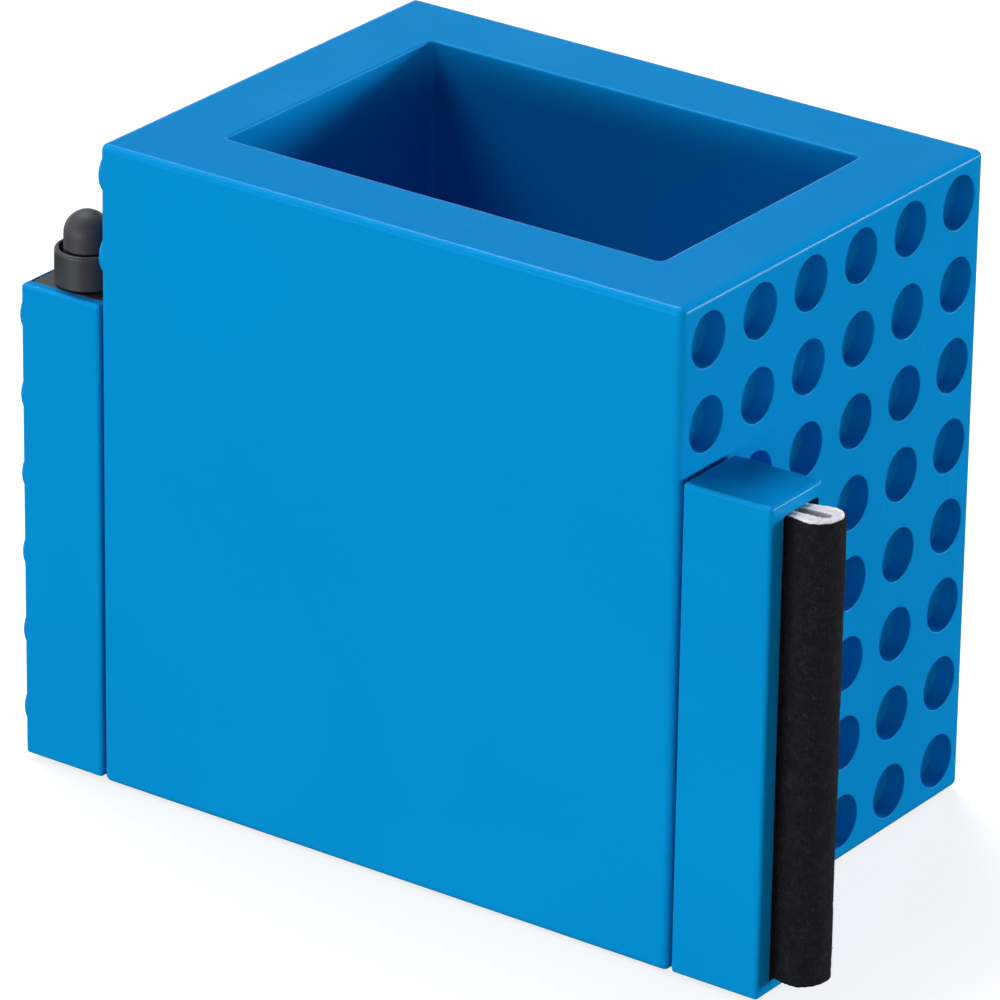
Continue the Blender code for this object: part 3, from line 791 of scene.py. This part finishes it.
def make_eraser_block(blue):
    """Studs towards the cup, and the pad's long slot in the outer face."""
    low, high = list(ERASER_LOW), list(ERASER_HIGH)
    lines = block_lines(low, high)
    skin = Skin()
    rounded_box(skin, low, high, lines, ((0, 0),), BLOCK_EDGE)
    stud_side(skin, low[0], lines, BLOCK_EDGE)
    block = skin.make("eraser_block_fine", blue)

    middle = (low[1] + high[1]) / 2
    base = high[2] - BLOCK_ROWS_HIGH * PITCH
    slot_low = (middle + SLOT_LOW[0], base + SLOT_LOW[1])
    slot_high = (middle + SLOT_HIGH[0], base + SLOT_HIGH[1])
    guide = Skin()
    profile = [(SLOT_RIM, -2 * MM)] + step_profile(SLOT_RIM, SLOT_DEPTH, SLOT_FILLET)[1:]
    guide.loft(
        rectangle_loops(0, high[0], -1, slot_low, slot_high, SLOT_CORNER, profile, (16, 32)),
        cap_first=True, cap_last=True,
    )
    cut(block, guide.make("guide", blue))
    crisp(block)
    dress(block, "eraser", "blue_plastic", "eraser_block")


def paint_carrier(blue):
    """The carrier keeps its CAD shape, deep in the slot, and takes the block's plastic."""
    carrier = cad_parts["pad_carrier"]
    carrier.data.materials.clear()
    carrier.data.materials.append(blue)


def pad_path(half, neck, nose_inset):
    """One face of the folded strip: front leg, nose, back leg, in the eraser block's X and Y."""
    face = ERASER_HIGH.x
    centre = face + PAD_NOSE - nose_inset - half
    front = even_line(face - PAD_LEG, face, LEG_STEPS // 2)
    path = [(x, -neck) for x in front]
    for step in range(1, LEG_STEPS):
        share = step / LEG_STEPS
        ease = share * share * (3 - 2 * share)
        path.append((face + share * (centre - face), -(neck + (half - neck) * ease)))
    turns = [math.pi * (step / NOSE_STEPS - 0.5) for step in range(NOSE_STEPS + 1)]
    nose = [(centre + half * math.cos(t), half * math.sin(t)) for t in turns]
    whole = path + nose + [(x, -y) for x, y in reversed(path)]
    middle = (ERASER_LOW.y + ERASER_HIGH.y) / 2 + PAD_CENTRE
    return [Vector((x, middle + y)) for x, y in whole]


def path_normals(path):
    """Unit normals of a path, to the outside of the fold."""
    normals = []
    for step in range(len(path)):
        ahead = path[min(step + 1, len(path) - 1)] - path[max(step - 1, 0)]
        normals.append(Vector((ahead.y, -ahead.x)).normalized())
    return normals


def pad_steps():
    return 2 * (LEG_STEPS // 2 + LEG_STEPS) + NOSE_STEPS


def pad_wave(step, share):
    """How far the folded strip stands off its mean surface, in metres; still inside the slot."""
    free = clamp((step - LEG_STEPS / 2) / 6, 0, 1)
    free *= clamp((pad_steps() - LEG_STEPS / 2 - step) / 6, 0, 1)
    along = step / pad_steps()
    slow = noise.noise(Vector((along * 3.0, share * 7.0, 3.1)))
    quick = noise.noise(Vector((along * 9.0, share * 26.0, 8.7)))
    return free * (WAVE * slow + RIPPLE * quick) * MM


def pad_level(point, share, ragged, proud):
    """Height of a point of the strip, which rises a little towards its nose."""
    out = clamp((point.x - ERASER_HIGH.x) / PAD_NOSE, 0, 1)
    bottom = PAD_LOW.z + NOSE_RISE * out ** 2.2 + ragged - proud
    top = PAD_HIGH.z + NOSE_LIFT * out - ragged + proud
    return bottom + (top - bottom) * share


def felt_fuzz(x, y, z):
    """Fine unevenness of the felt's outer face."""
    spot = Vector((x, y, z)) * FUZZ_PER_METRE
    return FUZZ * (noise.noise(spot) + 0.5 * noise.noise(spot * 2.3))


def edge_rag(step, side):
    """Small unevenness of the strip's cut edges."""
    quick = noise.noise(Vector((step * 0.9, side * 5.0, 4.2)))
    return RAG * noise.noise(Vector((step * 0.28, side * 5.0, 1.7))) + FINE_RAG * quick


def strip_piece(name, material, outer, inner, cut_round, proud=0.0, fuzzy=False):
    """A closed strip between two faces, given as paths with the same number of points."""
    skin = Skin()
    normals = path_normals(outer)

    def surface(path, share, rough):
        row = []
        side = 1 if share > 0.5 else 0
        for step, (point, normal) in enumerate(zip(path, normals)):
            level = pad_level(point, share, edge_rag(step, side), proud)
            moved = point + normal * pad_wave(step, share)
            if rough:
                moved += normal * felt_fuzz(point.x, point.y, level)
            row.append((moved.x, moved.y, level))
        return row

    shares = [step / PAD_LEVELS for step in range(PAD_LEVELS + 1)]
    faces = [
        [surface(path, share, rough) for share in shares]
        for path, rough in ((outer, fuzzy), (inner, False))
    ]
    for rows in faces:
        skin.grid(rows)
    for end, outward in ((0, -1), (-1, 1)):
        middle = [
            ((a[0] + b[0]) / 2, (a[1] + b[1]) / 2, (a[2] + b[2]) / 2 + outward * cut_round)
            for a, b in zip(faces[0][end], faces[1][end])
        ]
        skin.grid([faces[0][end], middle, faces[1][end]])
    for end in (0, -1):
        ends = [[row[end] for row in rows] for rows in faces]
        middle = [
            ((a[0] + b[0]) / 2 - cut_round, (a[1] + b[1]) / 2, (a[2] + b[2]) / 2)
            for a, b in zip(*ends)
        ]
        middle[0] = (middle[0][0] + cut_round, middle[0][1], middle[0][2] - cut_round)
        middle[-1] = (middle[-1][0] + cut_round, middle[-1][1], middle[-1][2] + cut_round)
        skin.grid([ends[0], middle, ends[1]])
    return skin.make(name, material)


def make_pad(felt, foam, hairs):
    """Felt cover with loose hairs and a foam backing, folded together into a U."""
    insets = (0.0, FELT_THICKNESS, FELT_THICKNESS + LAYER_GAP)
    faces = [pad_path(PAD_HALF_WIDTH - inset, PAD_HALF_NECK - inset, inset) for inset in insets]
    fold = pad_path(FOLD_HALF_GAP, FOLD_HALF_GAP, FOLD_GAP_INSET)
    cover = strip_piece("pad_felt_sheet", felt, faces[0], faces[1], CUT_ROUND, fuzzy=True)
    filling = strip_piece("pad_foam_backing", foam, faces[2], fold, 0.0, FOAM_PROUD)
    dress(cover, "eraser", "felt", "pad_felt")
    dress(filling, "eraser", "foam", "pad_foam")
    make_fibres(faces[0], hairs)


def fibre_rings(draw, start, side, out):
    """Three-sided rings along a bent hair that lies on a face with the normal out."""
    lean = draw.uniform(0, 2 * math.pi)
    ahead = side * math.cos(lean) + Vector((0, 0, math.sin(lean)))
    across = out.cross(ahead)
    length, lift = draw.uniform(*FIBRE_LENGTHS), draw.uniform(*FIBRE_LIFTS)
    bend = draw.uniform(-FIBRE_BEND, FIBRE_BEND)
    rings = []
    for along, size in FIBRE_TAPER:
        centre = start + length * (
            ahead * along + across * bend * along ** 2 + out * lift * math.sin(math.pi * 0.8 * along)
        )
        rings.append([
            centre + (across * math.cos(turn) + out * math.sin(turn)) * FIBRE_RADIUS * size
            for turn in (0.0, 2 * math.pi / 3, 4 * math.pi / 3)
        ])
    return rings


def make_fibres(path, hairs):
    """Short loose hairs on the felt, at seeded places of the fold's free part."""
    draw = random.Random(FIBRE_SEED)
    normals = path_normals(path)
    skin = Skin()
    for _ in range(FIBRES):
        step = draw.randrange(LEG_STEPS // 2 + 2, len(path) - LEG_STEPS // 2 - 3)
        share = draw.uniform(*FIBRE_SPAN)
        point, normal = path[step], normals[step]
        side = Vector((-normal.y, normal.x, 0.0))
        out = Vector((normal.x, normal.y, 0.0))
        start = Vector((point.x, point.y, pad_level(point, share, 0.0, 0.0)))
        start += out * (pad_wave(step, share) - FIBRE_SUNK)
        skin.loft(fibre_rings(draw, start, side, out), cap_first=True, cap_last=True)
    dress(skin.make("pad_felt_fibres", hairs), "eraser", "felt")


# ---------------------------------------------------------------- stylus block


def make_stylus_block(blue):
    """Sockets towards the cup, studs on the outer face, and a seat for the plug on top."""
    low, high = list(STYLUS_LOW), list(STYLUS_HIGH)
    lines = block_lines(low, high)
    skin = Skin()
    rounded_box(skin, low, high, lines, ((0, 0), (0, 1)), BLOCK_EDGE)
    stud_side(skin, low[0], lines, BLOCK_EDGE)
    socket_side(skin, high[0], lines, BLOCK_EDGE)
    block = skin.make("stylus_block_fine", blue)

    flange_low, flange_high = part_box("stylus_plug")
    gap = CLEARANCE / 2
    seat = high[2] - FLANGE_THICKNESS - CLEARANCE
    seat_guide, core_guide = Skin(), Skin()
    seat_low = (flange_low.x - gap, flange_low.y - gap)
    seat_high = (flange_high.x + gap, flange_high.y + gap)
    outline = rounded_rectangle(seat_low, seat_high, SEAT_CORNER, (16, 16))
    seat_guide.loft(
        [[(x, y, z) for x, y in outline] for z in (seat, high[2] + 2 * MM)], cap_first=True, cap_last=True
    )
    core_low = (low[0] + BLOCK_WALL, low[1] + BLOCK_WALL)
    core_floor = high[2] - BLOCK_ROWS_HIGH * PITCH + BLOCK_WALL
    core_high = (high[0] - SOCKET_DEPTH - CORE_WALL, high[1] - BLOCK_WALL)
    outline = rounded_rectangle(core_low, core_high, SEAT_CORNER, (16, 16))
    core_guide.loft(
        [[(x, y, z) for x, y in outline] for z in (core_floor, seat + MM)],
        cap_first=True, cap_last=True,
    )
    cut(block, seat_guide.make("guide_seat", blue), core_guide.make("guide_core", blue))
    crisp(block)
    dress(block, "stylus", "blue_plastic", "stylus_block")


def stylus_axis():
    middle = (STYLUS_LOW.y + STYLUS_HIGH.y) / 2
    return STYLUS_HIGH.x - AXIS_FROM_FACE, middle, STYLUS_HIGH.z


def make_stylus_plug(black):
    """Flange flush with the block's top, a spigot below it and the tip's stem above."""
    low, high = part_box("stylus_plug")
    top = STYLUS_HIGH.z
    axis = stylus_axis()
    flange = ((low.x, low.y), (high.x, high.y))
    spigot_low = (STYLUS_LOW.x + BLOCK_WALL + CLEARANCE, STYLUS_LOW.y + BLOCK_WALL + CLEARANCE)
    spigot_high = (
        STYLUS_HIGH.x - SOCKET_DEPTH - CORE_WALL - CLEARANCE, STYLUS_HIGH.y - BLOCK_WALL - CLEARANCE
    )
    corner, steps, under = 0.5 * MM, (20, 20), top - FLANGE_THICKNESS
    loops = []
    for shrink, z in ((CHAMFER, low.z), (0.0, low.z + CHAMFER), (0.0, under)):
        outline = rounded_rectangle(
            [v + shrink for v in spigot_low], [v - shrink for v in spigot_high], corner, steps
        )
        loops.append([(x, y, z) for x, y in outline])
    sides = [(CHAMFER, under), (0.0, under + CHAMFER)]
    sides += [
        (CHAMFER * (1 - math.cos(turn)), top - CHAMFER * (1 - math.sin(turn))) for turn in quarter(4)
    ]
    sides.append((2 * CHAMFER, top))
    for shrink, z in sides:
        outline = rounded_rectangle(
            [v + shrink for v in flange[0]], [v - shrink for v in flange[1]], corner, steps
        )
        loops.append([(x, y, z) for x, y in outline])
    stem = [(STEM_RADIUS + 2 * STEM_FOOT, top), (STEM_RADIUS + STEM_FOOT, top)]
    stem += [(STEM_RADIUS, top + STEM_FOOT), (STEM_RADIUS, top + COLLAR_HEIGHT)]
    for radius, z in stem:
        outline = circle(axis, radius, len(loops[0]), start=math.pi * 1.25)
        loops.append([(x, y, z) for x, y in outline])
    skin = Skin()
    skin.loft(loops, cap_first=True, cap_last=True)
    plug = skin.make("stylus_plug_fine", black)
    crisp(plug)
    dress(plug, "stylus", "black_plastic", "stylus_plug")


def make_stylus_collar(black):
    """Ring round the tip with a softly rounded mouth and an inner ledge."""
    edge, inner_edge, foot = 0.5 * MM, 0.25 * MM, 0.15 * MM
    base, top = CLEARANCE, COLLAR_HEIGHT
    profile = [(COLLAR_BORE, base), (COLLAR_RADIUS - foot, base), (COLLAR_RADIUS, base + foot)]
    profile += [
        (COLLAR_RADIUS - edge * (1 - math.cos(t)), top - edge * (1 - math.sin(t))) for t in quarter(8)
    ]
    profile += [
        (COLLAR_BORE + inner_edge * (1 - math.sin(t)), top - inner_edge * (1 - math.cos(t)))
        for t in quarter(5)
    ][1:]
    ledge_bore = TIP_RADIUS + CLEARANCE
    profile += [
        (COLLAR_BORE, LEDGE_HIGH), (ledge_bore, LEDGE_HIGH),
        (ledge_bore, LEDGE_LOW), (COLLAR_BORE, LEDGE_LOW),
    ]
    collar = turned("stylus_collar_fine", black, profile, stylus_axis(), loop=True)
    crisp(collar)
    dress(collar, "stylus", "black_plastic", "stylus_collar")


def make_stylus_tip(rubber):
    """Hollow rubber dome over the stem, with a foot under the collar's ledge."""
    inner, foot_radius = TIP_RADIUS - TIP_WALL, COLLAR_BORE - TIP_FOOT_GAP
    domes = [
        [(radius * math.cos(t), TIP_CENTRE + radius * math.sin(t)) for t in quarter(18)]
        for radius in (TIP_RADIUS, inner)
    ]
    foot = [
        (foot_radius, CLEARANCE), (foot_radius, TIP_FOOT_TOP - EDGE_BREAK),
        (foot_radius - EDGE_BREAK, TIP_FOOT_TOP), (TIP_RADIUS, TIP_FOOT_TOP),
    ]
    tip = turned(
        "stylus_tip_fine", rubber, domes[1][::-1] + [(inner, CLEARANCE)] + foot + domes[0], stylus_axis()
    )
    crisp(tip)
    dress(tip, "stylus", "tip_rubber", "stylus_tip")


# ---------------------------------------------------------------- stage


def make_floor():
    """Plain white floor, which throws no light of its own on the piece that stands on it."""
    mesh = bpy.data.meshes.new("floor")
    signs = ((-1, -1), (1, -1), (1, 1), (-1, 1))
    corners = [(x * FLOOR_HALF_SIDE, y * FLOOR_HALF_SIDE, 0) for x, y in signs]
    mesh.from_pydata(corners, [], [(0, 1, 2, 3)])
    floor = bpy.data.objects.new("floor", mesh)
    bpy.context.scene.collection.objects.link(floor)
    material = bpy.data.materials.new("floor_white")
    material.use_nodes = True
    shader = material.node_tree.nodes["Principled BSDF"]
    shader.inputs["Base Color"].default_value = (*FLOOR_WHITE, 1.0)
    shader.inputs["Roughness"].default_value = 0.9
    shader.inputs["Specular IOR Level"].default_value = 0.0
    shader.inputs["Emission Color"].default_value = (1, 1, 1, 1)
    shader.inputs["Emission Strength"].default_value = FLOOR_GLOW
    mesh.materials.append(material)
    floor.visible_diffuse = False
    floor.visible_glossy = False


def make_world():
    """Dim surroundings with a bright band along the horizon, which lights all upright faces alike."""
    world = bpy.data.worlds.new("studio")
    world.use_nodes = True
    tree = world.node_tree
    direction = tree.nodes.new("ShaderNodeTexCoord").outputs["Generated"]
    parts = tree.nodes.new("ShaderNodeSeparateXYZ")
    height = tree.nodes.new("ShaderNodeMapRange")
    height.inputs["From Min"].default_value = -1.0
    ramp = tree.nodes.new("ShaderNodeValToRGB")
    stops = ramp.color_ramp.elements
    while len(stops) < len(SKY):
        stops.new(0.5)
    for stop, (level, strength) in zip(stops, SKY):
        stop.position = (level + 1) / 2
        stop.color = (strength, strength, strength, 1.0)
    tree.links.new(direction, parts.inputs["Vector"])
    tree.links.new(parts.outputs["Z"], height.inputs["Value"])
    tree.links.new(height.outputs["Result"], ramp.inputs["Fac"])
    tree.links.new(ramp.outputs["Color"], tree.nodes["Background"].inputs["Color"])
    bpy.context.scene.world = world


def soft_light(name, azimuth, elevation, size, power, colour):
    """Area light aimed at the cup's middle; azimuth 0 is in front, and 90 is at the right."""
    around, up = math.radians(azimuth), math.radians(elevation)
    away = Vector((math.sin(around) * math.cos(up), -math.cos(around) * math.cos(up), math.sin(up)))
    light = bpy.data.lights.new(name, "AREA")
    light.shape = "RECTANGLE"
    light.size, light.size_y = size
    light.energy = power
    light.color = colour
    lamp = bpy.data.objects.new(name, light)
    lamp.location = (CUP_LOW + CUP_HIGH) / 2 + away * LIGHT_DISTANCE
    lamp.rotation_euler = away.to_track_quat("Z", "Y").to_euler()
    bpy.context.scene.collection.objects.link(lamp)


def make_lights():
    make_world()
    for name, settings in LIGHTS.items():
        soft_light(name, *settings)


def make_camera():
    around, up = math.radians(CAMERA_AZIMUTH), math.radians(CAMERA_ELEVATION)
    right = Vector((math.cos(around), math.sin(around), 0))
    back = Vector((math.sin(around) * math.cos(up), -math.cos(around) * math.cos(up), math.sin(up)))
    above = back.cross(right)
    turn = Matrix((right, above, back)).transposed() @ Matrix.Rotation(math.radians(CAMERA_ROLL), 3, "Z")
    lens = bpy.data.cameras.new("camera")
    lens.lens = CAMERA_LENS
    lens.sensor_width = SENSOR
    camera = bpy.data.objects.new("camera", lens)
    camera.matrix_world = Matrix.Translation(CUP_LOW + EYE_IN_PITCHES * PITCH) @ turn.to_4x4()
    bpy.context.scene.collection.objects.link(camera)
    bpy.context.scene.camera = camera


def main():
    blue = blue_plastic_material()
    black = black_plastic_material()
    steel, foot_rubber = screw_steel_material(), foot_rubber_material()
    bpy.context.scene.view_settings.view_transform = "Standard"
    make_camera()
    make_cup(blue)
    make_screw_posts(blue)
    make_base_plate(blue)
    for number in range(1, 5):
        make_screw(number, steel)
        make_foot(number, foot_rubber)
    make_eraser_block(blue)
    paint_carrier(blue)
    make_pad(felt_material(), foam_material(), felt_fibre_material())
    make_stylus_block(blue)
    make_stylus_plug(black)
    make_stylus_collar(black)
    make_stylus_tip(tip_rubber_material())
    make_floor()
    make_lights()


main()
